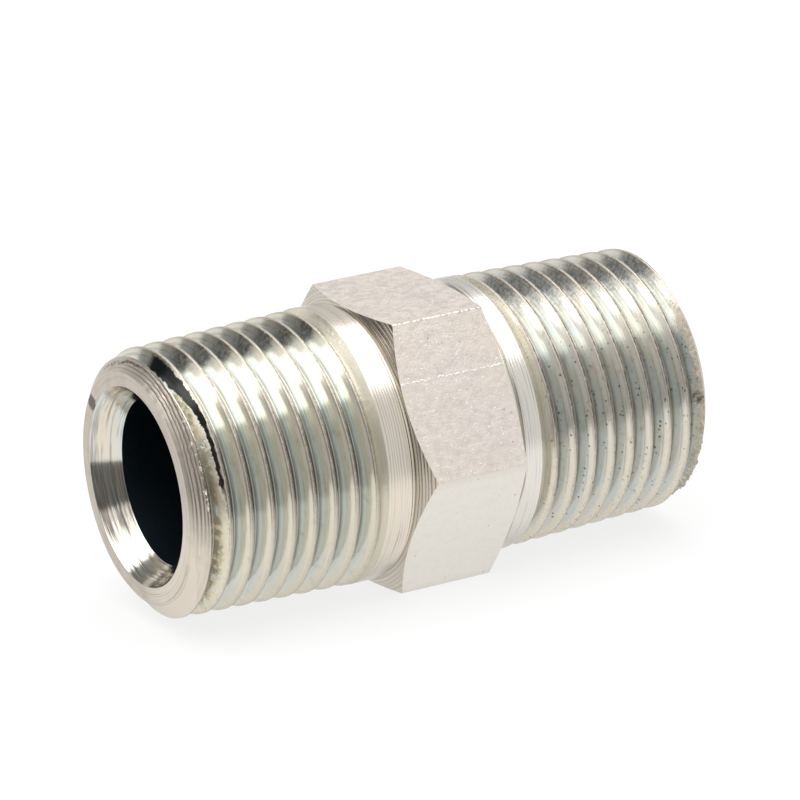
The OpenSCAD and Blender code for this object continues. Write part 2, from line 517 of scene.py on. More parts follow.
class NIPPLE_OT_weld(bpy.types.Operator):
    """Weld threads, hexagon and bore into one closed part that stands for the CAD solid"""

    bl_idname = "nipple.weld"
    bl_label = "Weld part"

    def execute(self, context):
        bm = bmesh.new()
        for name in ("near_thread", "far_thread", "hexagon", "bore"):
            region = bpy.data.objects[name]
            bm.from_mesh(region.data)
            bpy.data.objects.remove(region)
        bmesh.ops.remove_doubles(bm, verts=bm.verts, dist=2 * SAME_PLACE)
        bmesh.ops.recalc_face_normals(bm, faces=bm.faces)
        open_edges = sum(1 for edge in bm.edges if not edge.is_manifold)
        if open_edges:
            raise RuntimeError(f"the part isn't closed: {open_edges} open edges")
        mark_sharp_edges(bm)
        piece = piece_from(bm, "nipple_body")
        for material in finishes(context.scene):
            piece.data.materials.append(material)
        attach(piece, "root")
        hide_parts(NODE)
        return {"FINISHED"}


def linear(hex_value):
    """An sRGB colour such as #C0FFEE as linear red, green, blue and full alpha."""
    channels = [int(hex_value[place:place + 2], 16) / 255 for place in (1, 3, 5)]
    return [c / 12.92 if c <= 0.04045 else ((c + 0.055) / 1.055) ** 2.4 for c in channels] + [1]


def add_node(tree, kind, inputs=(), output=0, **settings):
    """Adds a node with its settings, and sets or links its inputs; gives an output, or the node for None."""
    node = tree.nodes.new("ShaderNode" + kind)
    for name, value in settings.items():
        setattr(node, name, value)
    for key, value in dict(inputs if isinstance(inputs, dict) else enumerate(inputs)).items():
        if isinstance(value, bpy.types.NodeSocket):
            tree.links.new(value, node.inputs[key])
        else:
            node.inputs[key].default_value = value
    return node if output is None else node.outputs[output]


def metal(name, base, roughness):
    """A metal shader with its constants set, ready for colour and bump links."""
    material = bpy.data.materials.new(name)
    material.use_nodes = True
    shader = material.node_tree.nodes["Principled BSDF"]
    shader.inputs["Base Color"].default_value = linear(base)
    shader.inputs["Metallic"].default_value = 1
    shader.inputs["Roughness"].default_value = roughness
    return material, material.node_tree, shader


def times(tree, *values):
    """The product of several shares, which shows a pattern only where all of them do."""
    return reduce(lambda a, b: add_node(tree, "Math", (a, b), operation="MULTIPLY"), values)


def most(tree, *values):
    """The greatest of several shares, which shows a pattern where any of them does."""
    return reduce(lambda a, b: add_node(tree, "Math", (a, b), operation="MAXIMUM"), values)


def part_places(tree):
    """Where a point lies on the part: its position, its radius and its share of a turn up from +Y."""
    position = add_node(tree, "TexCoord", output="Object")
    x, y, z = add_node(tree, "SeparateXYZ", (position,), None).outputs
    squares = add_node(tree, "Math", (y, y, times(tree, z, z)), operation="MULTIPLY_ADD")
    from_top = add_node(tree, "Math", (y, z), operation="ARCTAN2")
    from_top = add_node(tree, "Math", (from_top, math.tau), operation="DIVIDE")
    return {
        "position": position,
        "x": x,
        "y": y,
        "z": z,
        "radius": add_node(tree, "Math", (squares,), operation="SQRT"),
        "around": add_node(tree, "Math", (0.25, from_top), operation="SUBTRACT"),
    }


def thread_places(tree, thread, body):
    """Adds where a point lies on its thread: near or far, depth, and turns, whole numbers on a crest."""
    place = part_places(tree)
    side = add_node(tree, "Math", (place["x"],), operation="SIGN")
    along = add_node(tree, "Math", (place["x"],), operation="ABSOLUTE")
    inward = add_node(tree, "Math", (body.overall / 2, along), operation="SUBTRACT")
    from_top = add_node(tree, "Math", (0.25, place["around"]), operation="SUBTRACT")
    local_turn = add_node(tree, "Math", (side, from_top, 0.25), operation="MULTIPLY_ADD")
    # Each thread starts at its own angle, half their difference to one side of the middle
    middle = (thread.near_start + thread.far_start) / 2 / math.tau
    swing = (thread.far_start - thread.near_start) / 2 / math.tau
    start = add_node(tree, "Math", (side, swing, middle), operation="MULTIPLY_ADD")
    pitches = add_node(tree, "Math", (inward, thread.pitch), operation="DIVIDE")
    past_ray = add_node(tree, "Math", (pitches, local_turn), operation="SUBTRACT")
    crest_radius = add_node(tree, "Math", (inward, thread.taper / 2, thread.crest_diameter / 2),
                            operation="MULTIPLY_ADD")
    below = add_node(tree, "Math", (crest_radius, place["radius"]), operation="SUBTRACT")
    place["side"] = side
    place["near"] = add_node(tree, "MapRange", (side, -0.5, 0.5, 1, 0))
    place["far"] = add_node(tree, "MapRange", (side, -0.5, 0.5))
    place["inward"] = inward
    place["turns"] = add_node(tree, "Math", (past_ray, start), operation="ADD")
    place["phase"] = add_node(tree, "Math", (place["turns"],), operation="FRACT")
    place["depth"] = add_node(tree, "Math", (below, groove_depth(thread)), operation="DIVIDE")
    return place


def coated(tree, base, *coats):
    """Lays coats over a base colour, each given as (share, colour), the last one on top."""
    for share, shade in coats:
        under, over = [linear(tone) if isinstance(tone, str) else tone for tone in (base, shade)]
        base = add_node(tree, "Mix", {0: share, 6: under, 7: over}, 2, data_type="RGBA")
    return base


def tints(tree, value, *stops):
    """Colours that blend into each other as a value rises, each given as (place, colour)."""
    (low, base), *others = stops
    for high, shade in others:
        base = coated(tree, base, (add_node(tree, "MapRange", (value, low, high)), shade))
        low = high
    return base


def streaks(tree, across, place, spacing, run, detail=2):
    """Noise drawn out into lines: spacing across them, run along them."""
    measures = ((across, spacing), (place["y"], run), (place["z"], run))
    drawn = [add_node(tree, "Math", pair, operation="DIVIDE") for pair in measures]
    vector = add_node(tree, "CombineXYZ", drawn)
    return add_node(tree, "TexNoise", {"Vector": vector, "Scale": 1, "Detail": detail, "Roughness": 0.6})


def speckle(tree, place, size, detail=3, rough=0.6):
    """Cloudy noise with patches of about the given size."""
    inputs = {"Vector": place["position"], "Scale": 1 / size, "Detail": detail, "Roughness": rough}
    return add_node(tree, "TexNoise", inputs)


def between(tree, value, low, high, soft):
    """One from low to high and zero outside, with edges that take twice soft."""
    rise = add_node(tree, "MapRange", (value, low - soft, low + soft))
    return times(tree, rise, add_node(tree, "MapRange", (value, high - soft, high + soft, 1, 0)))


def round_from(tree, place, first, last, soft):
    """One from the first to the last angle round the part, in degrees, counted up from the side +Y."""
    return between(tree, place["around"], first / 360, last / 360, soft / 360)


def round_change(tree, place, first, last, before, after):
    """A value that changes between two angles round the part, in degrees."""
    return add_node(tree, "MapRange", (place["around"], first / 360, last / 360, before, after))


def bumped(tree, shader, *bumps):
    """Bumps the shader, each bump given as (height, depth in metres), one over the other."""
    before = {}
    for height, depth in bumps:
        normal = add_node(tree, "Bump", {"Strength": 1, "Distance": depth, "Height": height, **before})
        before = {"Normal": normal}
    tree.links.new(normal, shader.inputs["Normal"])


def dots(tree, place, spacing, size, share):
    """Small round marks: one where a point lies on a mark, which a share of the cells has."""
    cell = add_node(tree, "TexVoronoi", {"Vector": place["position"], "Scale": 1 / spacing}, None)
    chance = add_node(tree, "SeparateColor", (cell.outputs["Color"],))
    reach = size / 2 / spacing
    inside = add_node(tree, "MapRange", (cell.outputs["Distance"], 0.7 * reach, 1.2 * reach, 1, 0))
    return times(tree, inside, add_node(tree, "MapRange", (chance, share - 0.01, share + 0.01, 1, 0)))


def spot(tree, place, x, off_axis, degrees, size):
    """One mark of a given size round a point, with a ragged edge."""
    turn = math.radians(degrees)
    at = (x, off_axis * math.cos(turn), off_axis * math.sin(turn))
    gap = add_node(tree, "VectorMath", (place["position"], at), "Value", operation="DISTANCE")
    grain = speckle(tree, place, 0.3 * MM)
    torn = add_node(tree, "Math", (grain, 0.6 * size, gap), operation="MULTIPLY_ADD")
    return add_node(tree, "MapRange", (torn, 0.7 * size, 0.85 * size, 1, 0))


def ragged(tree, value, noise_value, reach):
    """Shifts a value by noise, up to reach each way, so that a limit on it looks torn."""
    shift = add_node(tree, "Math", (noise_value, 0.5), operation="SUBTRACT")
    return add_node(tree, "Math", (shift, 2 * reach, value), operation="MULTIPLY_ADD")


def tool_rings(tree, place, across, spacing, wander):
    """Even rings of a lathe tool, one in each spacing, that wander a little and vary in width."""
    drift = times(tree, streaks(tree, across, place, 2.5 * spacing, 5 * MM, detail=1), wander)
    rings = add_node(tree, "Math", (across, 1 / spacing, drift), operation="MULTIPLY_ADD")
    return between(tree, add_node(tree, "Math", (rings,), operation="FRACT"), 0.3, 0.62, 0.16)


def knocked_corners(tree, place):
    """Small knocks along the hexagon's corners, mostly on the upper one at the front."""
    turn = add_node(tree, "Math", (place["around"], HEX_CORNERS, 0.5), operation="MULTIPLY_ADD")
    turn = add_node(tree, "Math", (turn,), operation="FRACT")
    off = add_node(tree, "Math", (turn, 0.5), operation="SUBTRACT")
    off = add_node(tree, "Math", (off,), operation="ABSOLUTE")
    # A hundredth of the way from corner to corner is about 0.1 mm
    corner = add_node(tree, "MapRange", (off, 0.004, 0.009, 1, 0))
    broken = add_node(tree, "MapRange", (speckle(tree, place, 0.3 * MM), 0.5, 0.58))
    upper = add_node(tree, "MapRange", (round_from(tree, place, 90, 150, 4), 0, 1, 0.1, 0.6))
    return times(tree, corner, broken, upper)


def drawn_flat(looks):
    """Zinc over cold drawn bar: matt warm grey, leathery, with dark pits, painted glints on bright bumps and
    a score, and a lower flat painted brighter.
    """
    material, tree, shader = metal("drawn_flat", looks.flats, 0.42)
    place = part_places(tree)
    cloud = add_node(tree, "MapRange", (speckle(tree, place, 3.5 * MM), 0.38, 0.62))
    leather = speckle(tree, place, 0.5 * MM, detail=4, rough=0.65)
    grit = speckle(tree, place, 0.16 * MM, detail=2)
    patches = add_node(tree, "MapRange", (speckle(tree, place, 1.6 * MM), 0.42, 0.62, 0.3, 1))
    # The score is one die line along the bar, at one height on the front flat
    height = ragged(tree, place["z"], leather, 0.12 * MM)
    score = times(tree, between(tree, height, 5.46 * MM, 5.56 * MM, 0.02 * MM),
                  round_from(tree, place, 120, 180, 1),
                  add_node(tree, "MapRange", (grit, 0.5, 0.62, 0.1, 0.6)))
    # Real specks and pits are a few hundredths of a millimetre wide and are drawn larger, so that they show;
    # the bright specks and the score are painted glints
    bright = most(tree, times(tree, dots(tree, place, 0.26 * MM, 0.085 * MM, 0.34), patches), score)
    pits = times(tree, dots(tree, place, 0.41 * MM, 0.1 * MM, 0.22), patches)
    base = coated(tree, looks.flats,
                  (times(tree, cloud, 0.5), looks.flats_cool),
                  # Painted light: the flat below the front one, between 181° and 240°, is painted brighter
                  (times(tree, round_from(tree, place, 181, 240, 3), 0.85), looks.flats_painted_light),
                  (add_node(tree, "MapRange", (leather, 0.32, 0.55, 0.1, 0)), looks.flats_hollow),
                  (times(tree, pits, 0.7), looks.grime_and_painted_shade),
                  (times(tree, bright, 0.9), looks.glint),
                  (knocked_corners(tree, place), looks.grime_and_painted_shade))
    tree.links.new(base, shader.inputs["Base Color"])
    rough = add_node(tree, "MapRange", (leather, 0.3, 0.7, 0.36, 0.5))
    tree.links.new(rough, shader.inputs["Roughness"])
    bumped(tree, shader, (leather, 0.03 * MM), (grit, 0.012 * MM), (bright, 0.02 * MM))
    return material


def turned_collar(looks):
    """Zinc over a lathe cut: bright pinkish rings that run round the part, with thin dark ones between
    painted as shade in the grooves, and painted shade underneath.
    """
    material, tree, shader = metal("turned_collar", looks.collars, 0.24)
    place = part_places(tree)
    # The tool's feed is near 0.1 mm for a turn, and its rings are drawn twice as wide, so that they show
    fine = streaks(tree, place["x"], place, 0.08 * MM, 6 * MM)
    coarse = streaks(tree, place["x"], place, 0.3 * MM, 9 * MM, detail=1)
    rings = tool_rings(tree, place, place["x"], 0.19 * MM, 0.8)
    near = add_node(tree, "MapRange", (place["x"], -1 * MM, 1 * MM, 1, 0))
    # The dark lines between the rings are painted shade in the grooves, strongest on the near collar's front
    ring_shade_front = times(tree, round_from(tree, place, 130, 180, 8), near)
    dark = times(tree, rings, add_node(tree, "MapRange", (ring_shade_front, 0, 1, 0.06, 0.32)))
    base = coated(tree, looks.collars,
                  (add_node(tree, "MapRange", (coarse, 0.35, 0.65)), looks.collar_cream),
                  (add_node(tree, "MapRange", (near, 0, 1, 0.75, 0)), looks.collar_far),
                  (add_node(tree, "MapRange", (fine, 0.28, 0.45, 0.45, 0)), looks.grime_and_painted_shade),
                  (dark, looks.dark_marks_and_painted_shade),
                  # Painted shade under the collars, between 222° and 256°
                  (times(tree, round_from(tree, place, 222, 256, 9), 0.3), looks.grime_and_painted_shade))
    tree.links.new(base, shader.inputs["Base Color"])
    bumped(tree, shader, (fine, 0.007 * MM), (coarse, 0.014 * MM), (rings, -0.004 * MM))
    return material


def turned_cone(looks):
    """Zinc over the coarse lathe cut on the hexagon's corners: deep rings with dark lines between them,
    painted as shade in the grooves, and painted shade on the near cone's upper front.
    """
    material, tree, shader = metal("turned_cone", looks.cones, 0.22)
    place = part_places(tree)
    rings = tool_rings(tree, place, place["radius"], 0.22 * MM, 1.2)
    fine = streaks(tree, place["radius"], place, 0.1 * MM, 8 * MM)
    on_near = add_node(tree, "MapRange", (place["x"], 0, 0.1 * MM, 0.6, 0))
    # The rings' dark lines are painted shade, strongest between 96° and 186°
    ring_shade_side = add_node(tree, "MapRange", (round_from(tree, place, 96, 186, 12), 0, 1, 0.2, 0.7))
    base = coated(tree, looks.cones,
                  (add_node(tree, "MapRange", (fine, 0.3, 0.6, 0.3, 0)), looks.grime_and_painted_shade),
                  # Painted shade on the near cone, between 98° and 138°
                  (times(tree, round_from(tree, place, 98, 138, 8), on_near), looks.grime_and_painted_shade),
                  (times(tree, rings, ring_shade_side), looks.grime_and_painted_shade))
    tree.links.new(base, shader.inputs["Base Color"])
    bumped(tree, shader, (fine, 0.02 * MM), (rings, -0.012 * MM))
    return material


def torn_edge(tree, place, looks, base):
    """Dark torn metal above and pale flakes in front, where the first crest meets the end chamfer."""
    grit = speckle(tree, place, 0.2 * MM, detail=3, rough=0.7)
    turns = ragged(tree, place["turns"], speckle(tree, place, 0.5 * MM), 0.12)
    dark = times(tree, between(tree, turns, 1.0, 1.08, 0.015), round_from(tree, place, 56, 98, 6),
                 place["near"], add_node(tree, "MapRange", (grit, 0.42, 0.56, 0.95, 0.1)))
    flaky = speckle(tree, place, 0.32 * MM, detail=2)
    flakes = times(tree, between(tree, turns, 1.02, 1.26, 0.02), round_from(tree, place, 132, 176, 5),
                   place["near"], add_node(tree, "MapRange", (flaky, 0.55, 0.6)))
    return coated(tree, base, (dark, looks.dark_marks_and_painted_shade), (flakes, looks.flake)), flakes


def burred_rim(tree, place, body, looks, base):
    """The far rim: a rough band of beige and pinkish zinc past the last crest, with a gritty patch."""
    grit = speckle(tree, place, 0.28 * MM, detail=4, rough=0.7)
    turns = ragged(tree, place["turns"], speckle(tree, place, 0.9 * MM, detail=4), 0.3)
    worn = add_node(tree, "MapRange", (speckle(tree, place, 0.7 * MM, detail=3), 0.36, 0.5, 0.55, 1))
    rim = times(tree, add_node(tree, "MapRange", (turns, 1.2, 1.4, 1, 0)),
                round_from(tree, place, 128, 256, 10), place["far"], worn)
    tint = tints(tree, grit, (0.36, looks.crust_shade), (0.47, looks.rim), (0.58, looks.rim_pink),
                 (0.66, looks.flake))
    patch = times(tree, spot(tree, place, body.overall / 2 - PATCH_INWARD, *PATCH),
                  add_node(tree, "MapRange", (grit, 0.4, 0.6, 0.9, 0.2)))
    return coated(tree, base, (times(tree, rim, 0.85), tint), (patch, looks.dark_marks_and_painted_shade)), rim


def faced_end(looks, thread, body):
    """Zinc over a faced ring and its chamfer: pinkish grey, painted paler below as painted light, with dark
    rings on the chamfer painted as shade in the grooves.
    """
    material, tree, shader = metal("faced_end", looks.faced, 0.38)
    place = thread_places(tree, thread, body)
    ring = body.ring_diameter / 2
    fine = streaks(tree, place["radius"], place, 0.1 * MM, 8 * MM)
    soft = speckle(tree, place, 1.2 * MM)
    chamfer = between(tree, place["radius"], ring + 0.225 * MM, thread.crest_diameter / 2, 0.08 * MM)
    # The rings are drawn at twice the tool's feed, so that they show, and are painted dark only between 84°
    # and 186°, as painted shade in the grooves
    rings = times(tree, tool_rings(tree, place, place["radius"], 0.2 * MM, 1.1), chamfer,
                  round_from(tree, place, 84, 186, 10))
    stain = spot(tree, place, -body.overall / 2, *STAIN)
    base = coated(tree, looks.faced,
                  # Painted light: the lower part of the end, between 182° and 256°, is painted paler
                  (times(tree, round_from(tree, place, 182, 256, 12), 0.85), looks.faced_pale),
                  (add_node(tree, "MapRange", (fine, 0.25, 0.5, 0.4, 0)), looks.grime_and_painted_shade),
                  (add_node(tree, "MapRange", (soft, 0.5, 0.75, 0, 0.3)), looks.crust_shade),
                  (times(tree, rings, 0.7), looks.grime_and_painted_shade),
                  (times(tree, stain, 0.85), looks.dark_marks_and_painted_shade))
    base, flakes = torn_edge(tree, place, looks, base)
    burred, rim = burred_rim(tree, place, body, looks, base)
    outer = ragged(tree, place["radius"], soft, 0.4 * MM)
    edge = add_node(tree, "MapRange", (outer, ring + 0.575 * MM, ring + 0.825 * MM))
    rim = times(tree, rim, edge)
    tree.links.new(coated(tree, base, (edge, burred)), shader.inputs["Base Color"])
    crusty = most(tree, flakes, times(tree, rim, 0.7))
    tree.links.new(add_node(tree, "MapRange", (crusty, 0, 1, 1, 0.2)), shader.inputs["Metallic"])
    bumped(tree, shader, (fine, 0.008 * MM), (rings, -0.02 * MM),
           (times(tree, rim, speckle(tree, place, 0.25 * MM)), 0.05 * MM))
    return material


def flank_colour(tree, place, looks):
    """Passivate tints: straw at the crest to grey blue at the root, greener and cloudy on the far thread."""
    drift = streaks(tree, place["depth"], place, 0.3, 3 * MM)
    depth = ragged(tree, place["depth"], drift, 0.16)
    near = tints(tree, depth, (0.15, looks.thread_straw), (0.5, looks.thread), (0.8, looks.thread_blue),
                 (0.97, looks.root))
    cloud = add_node(tree, "MapRange", (speckle(tree, place, 2.6 * MM), 0.36, 0.64))
    far = coated(tree, looks.far_khaki,
                 (cloud, looks.far_flank),
                 (add_node(tree, "MapRange", (depth, 0.1, 0.5, 0.7, 0)), looks.far_straw),
                 (add_node(tree, "MapRange", (depth, 0.8, 0.95)), looks.root))
    stains = speckle(tree, place, 1.1 * MM, detail=4)
    stains = add_node(tree, "MapRange", (stains, 0.58, 0.72, 0, 0.3))
    return coated(tree, near, (place["far"], far), (stains, looks.crust_shade))


def crest_lines(tree, place, thread, looks, base):
    """A thin pinkish crest with a dark line of painted shade behind it, nicked, and a rough pale streak
    before it below.
    """
    # How far a point lies behind its nearest crest line, seen from the near end
    centred = add_node(tree, "Math", (place["turns"], 0.5), operation="ADD")
    centred = add_node(tree, "Math", (centred,), operation="FRACT")
    centred = add_node(tree, "Math", (centred, 0.5), operation="SUBTRACT")
    behind = times(tree, centred, place["side"], -thread.pitch)
    off = add_node(tree, "Math", (behind,), operation="ABSOLUTE")
    far = place["far"]
    # The dark lines beside the crest are painted shade: the one behind it strongest round the front, the one
    # before it mostly between 136° and 186°
    front = times(tree, round_change(tree, place, 92, 112, 0, 1), round_change(tree, place, 168, 196, 1, 0))
    broken = speckle(tree, place, 0.5 * MM, detail=4)
    broken = add_node(tree, "MapRange", (broken, 0.32, 0.52, 0.55, 1))
    soft = 0.012 * MM
    crest = between(tree, behind, -0.09 * MM, -0.03 * MM, soft)
    nicked = ragged(tree, behind, speckle(tree, place, 0.2 * MM, detail=3, rough=0.7), 0.06 * MM)
    rear_shade_line = times(tree, between(tree, nicked, -0.03 * MM, 0.08 * MM, soft), broken,
                 add_node(tree, "MapRange", (front, 0, 1, 0.22, 0.85)),
                 add_node(tree, "MapRange", (far, 0, 1, 0.82, 1)))
    double = add_node(tree, "MapRange", (round_from(tree, place, 136, 186, 12), 0, 1, 0.1, 0.45))
    fore_shade_line = times(tree, between(tree, behind, -0.14 * MM, -0.09 * MM, soft), broken, double,
                 add_node(tree, "MapRange", (far, 0, 1, 1, 0.4)))
    grit = speckle(tree, place, 0.15 * MM, detail=2)
    nicks = times(tree, add_node(tree, "MapRange", (off, 0.1 * MM, 0.14 * MM, 1, 0)),
                  add_node(tree, "MapRange", (grit, 0.66, 0.72)))
    before = ragged(tree, behind, speckle(tree, place, 0.4 * MM, detail=3), 0.14 * MM)
    rough = times(tree, between(tree, before, -0.27 * MM, -0.1 * MM, 0.03 * MM),
                  round_from(tree, place, 192, 254, 14),
                  add_node(tree, "MapRange", (far, 0, 1, 0.5, 0.9)))
    base = coated(tree, base,
                  (times(tree, crest, 0.85), looks.crest),
                  (rear_shade_line, looks.dark_marks_and_painted_shade),
                  (fore_shade_line, looks.dark_marks_and_painted_shade),
                  (times(tree, nicks, 0.9), looks.flake),
                  (times(tree, rough, 0.7), looks.flake))
    return base, off, rough


def first_groove(tree, place, looks, base):
    """Bare dark steel and a crust of zinc, on the near end's first groove only."""
    blotch = speckle(tree, place, 0.45 * MM, detail=3)
    turns = ragged(tree, place["turns"], blotch, 0.09)
    middle = round_change(tree, place, 112, 136, 1.73, 1.87)
    width = round_change(tree, place, 112, 140, 0.16, 0.06)
    off = add_node(tree, "Math", (turns, middle), operation="SUBTRACT")
    off = add_node(tree, "Math", (off,), operation="ABSOLUTE")
    off = add_node(tree, "Math", (off, width), operation="DIVIDE")
    dark = times(tree, add_node(tree, "MapRange", (off, 0.85, 1.05, 1, 0)),
                 round_from(tree, place, 91, 168, 2), place["near"])
    top = add_node(tree, "Math", (middle, width), operation="SUBTRACT")
    top = add_node(tree, "Math", (top, round_change(tree, place, 160, 174, 0, 0.1)), operation="ADD")
    torn = ragged(tree, turns, speckle(tree, place, 0.25 * MM), 0.1)
    above = add_node(tree, "Math", (top, torn), operation="SUBTRACT")
    crust = times(tree, add_node(tree, "MapRange", (above, -0.02, 0.02)),
                  add_node(tree, "MapRange", (turns, 1.5, 1.54)),
                  round_from(tree, place, 116, 242, 4), place["near"],
                  add_node(tree, "MapRange", (speckle(tree, place, 1.1 * MM), 0.36, 0.44)))
    inner = add_node(tree, "MapRange", (place["turns"], 1.64, 1.82))
    pale = add_node(tree, "MapRange", (blotch, 0.3, 0.7, -0.5, 0.5))
    pale = add_node(tree, "Math", (inner, pale), operation="ADD")
    pale = add_node(tree, "Math", (pale, round_change(tree, place, 150, 172, 0.4, 0)), operation="ADD")
    tint = tints(tree, pale, (0.05, looks.crust_shade), (0.35, looks.crust), (0.85, looks.flake))
    soil = times(tree, add_node(tree, "MapRange", (blotch, 0.36, 0.6, 0.25, 0.75)),
                 round_from(tree, place, 144, 176, 8))
    tint = coated(tree, tint, (soil, looks.grime_and_painted_shade))
    return coated(tree, base, (crust, tint), (times(tree, dark, 0.96), looks.bare_steel_and_dark_reflection)), crust


def cut_thread(looks, thread, body):
    """Zinc over a cut thread: tinted bright flanks with fine lines, nicked crests with dark edges of painted
    shade, painted dark reflections on the near tops and a paler painted last groove.
    """
    material, tree, shader = metal("cut_thread", looks.thread, 0.2)
    place = thread_places(tree, thread, body)
    far = place["far"]
    near = place["near"]
    across = times(tree, place["phase"], thread.pitch)
    # The chaser's lines are finer than this on the real flanks, and are drawn just wide enough to show
    lines = streaks(tree, across, place, 0.09 * MM, 7 * MM, detail=3)
    pits = times(tree, dots(tree, place, 0.34 * MM, 0.15 * MM, 0.48),
                 add_node(tree, "MapRange", (speckle(tree, place, 1.5 * MM), 0.38, 0.5)), far,
                 round_from(tree, place, 138, 254, 12))
    drift = speckle(tree, place, 0.3 * MM, detail=4, rough=0.7)
    # Darker mottled patches on the far thread's tops, between 84° and 114°
    dark_top_mottle = times(tree, add_node(tree, "MapRange", (drift, 0.44, 0.6)), far,
                 round_from(tree, place, 84, 114, 7))
    # Painted reflection: dark mottled blocks on the near thread's tops, between 91° and 106°, in place of a
    # dark card mirrored there
    dark_reflection_blocks = times(tree, between(tree, ragged(tree, place["phase"], drift, 0.12), 0.62, 0.95, 0.03),
                   round_from(tree, place, 91, 106, 4), near,
                   add_node(tree, "MapRange", (drift, 0.35, 0.6, 0.8, 0.35)))
    base = coated(tree, flank_colour(tree, place, looks),
                  (add_node(tree, "MapRange", (lines, 0.28, 0.45, 0.4, 0)), looks.grime_and_painted_shade),
                  (times(tree, pits, 0.9), looks.dark_marks_and_painted_shade),
                  (times(tree, dark_top_mottle, 0.45), looks.grime_and_painted_shade),
                  (dark_reflection_blocks, looks.bare_steel_and_dark_reflection))
    base, off, streak = crest_lines(tree, place, thread, looks, base)
    run_out = times(tree, add_node(tree, "MapRange", (place["turns"], 0.93, 0.98, 1, 0)), near)
    # The last groove beside each collar is painted paler and less metallic, as a painted reflection of a mid
    # tone
    last = add_node(tree, "MapRange", (place["inward"], 12 * MM, 12.3 * MM))
    base = coated(tree, base, (run_out, looks.faced_pale), (times(tree, last, 0.7), looks.run_out))
    base, crust = first_groove(tree, place, looks, base)
    base, flakes = torn_edge(tree, place, looks, base)
    base, rim = burred_rim(tree, place, body, looks, base)
    tree.links.new(base, shader.inputs["Base Color"])
    crusty = most(tree, crust, flakes, times(tree, rim, 0.8), times(tree, streak, 0.5),
                  times(tree, last, 0.45))
    rough = most(tree, add_node(tree, "MapRange", (far, 0, 1, 0.15, 0.2)),
                 add_node(tree, "MapRange", (off, 0.06 * MM, 0.14 * MM, 0.42, 0.16)),
                 times(tree, run_out, 0.38), times(tree, crusty, 0.6))
    tree.links.new(rough, shader.inputs["Roughness"])
    tree.links.new(add_node(tree, "MapRange", (crusty, 0, 1, 1, 0.15)), shader.inputs["Metallic"])
    heaped = times(tree, crusty, round_change(tree, place, 160, 185, 1, 0.3),
                   speckle(tree, place, 0.3 * MM))
    bumped(tree, shader, (lines, 0.006 * MM),
           (streaks(tree, across, place, 0.25 * MM, 3 * MM), 0.014 * MM), (heaped, 0.05 * MM))
    return material


def bored_seat(looks):
    """Zinc over a bored cone: circular tool lines, creamy and bluish by turns, dark brown between, and
    painted shade on its lower part.
    """
    material, tree, shader = metal("bored_seat", looks.seat, 0.13)
    place = part_places(tree)
    # The finest lines that a boring tool leaves are too fine to show, so these are drawn coarser
    fine = streaks(tree, place["radius"], place, 0.06 * MM, 7 * MM, detail=3)
    medium = streaks(tree, place["radius"], place, 0.12 * MM, 4 * MM, detail=2)
    coarse = streaks(tree, place["radius"], place, 0.3 * MM, 5 * MM, detail=1)
    lower = round_change(tree, place, -42, -18, 1, 0)
    scored = times(tree, add_node(tree, "MapRange", (fine, 0.42, 0.52, 1, 0)),
                   add_node(tree, "MapRange", (lower, 0, 1, 0.3, 0.8)),
                   round_from(tree, place, -50, -4, 6))
    # Painted shade on the seat's lower part, from 234° round to 282°
    below = most(tree, round_change(tree, place, 234, 258, 0, 1),
                 round_change(tree, place, -90, -78, 1, 0))
    base = coated(tree, looks.seat,
                  (add_node(tree, "MapRange", (coarse, 0.35, 0.65)), looks.seat_cool),
                  (add_node(tree, "MapRange", (medium, 0.34, 0.5, 0.6, 0)), looks.seat_line),
                  (add_node(tree, "MapRange", (fine, 0.28, 0.42, 0.5, 0)), looks.grime_and_painted_shade),
                  (scored, looks.grime_and_painted_shade),
                  (times(tree, below, 0.5), looks.grime_and_painted_shade))
    tree.links.new(base, shader.inputs["Base Color"])
    deeper = add_node(tree, "MapRange", (lower, 0, 1, 1, 3))
    deep = add_node(tree, "MapRange", (lower, 0, 1, 0.8, 1.8))
    bumped(tree, shader, (times(tree, fine, deeper), 0.004 * MM),
           (times(tree, medium, deep), 0.014 * MM), (coarse, 0.014 * MM))
    return material


def drilled_bore(looks):
    """The bore's wall: dark blue grey, dull."""
    material, tree, shader = metal("drilled_bore", looks.bore, 0.4)
    place = part_places(tree)
    bumped(tree, shader, (streaks(tree, place["x"], place, 0.15 * MM, 4 * MM), 0.01 * MM))
    return material


def finishes(scene):
    """The materials in the order of the finishes' numbers."""
    looks = scene.nipple_looks
    return [
        drawn_flat(looks),
        turned_collar(looks),
        turned_cone(looks),
        cut_thread(looks, scene.nipple_thread, scene.nipple_body),
        faced_end(looks, scene.nipple_thread, scene.nipple_body),
        bored_seat(looks),
        drilled_bore(looks),
    ]


def direction(azimuth, elevation):
    """Unit vector from the part: azimuth 0 is the front, elevation 0 is level."""
    level = math.cos(elevation)
    return Vector((math.sin(azimuth) * level, -math.cos(azimuth) * level, math.sin(elevation)))


def place_camera(context, stage):
    data = bpy.data.cameras.new("Camera")
    data.lens = stage.focal
    data.clip_start = 10 * MM
    camera = bpy.data.objects.new("Camera", data)
    aim = Euler((math.pi / 2 - stage.elevation, 0, stage.azimuth)).to_matrix()
    turned = aim @ Euler((0, 0, stage.roll)).to_matrix()
    camera.rotation_euler = turned.to_euler()
    camera.location = direction(stage.azimuth, stage.elevation) * stage.distance
    camera.location += turned @ Vector((stage.slide_right, stage.slide_up, 0))
    context.scene.collection.objects.link(camera)
    context.scene.camera = camera


def seen_rays(tree):
    """One where a ray comes straight from the camera, by reflection or through glass, zero elsewhere."""
    path = add_node(tree, "LightPath", output=None)
    kinds = ("Is Camera Ray", "Is Glossy Ray", "Is Transmission Ray")
    return most(tree, *[path.outputs[kind] for kind in kinds])


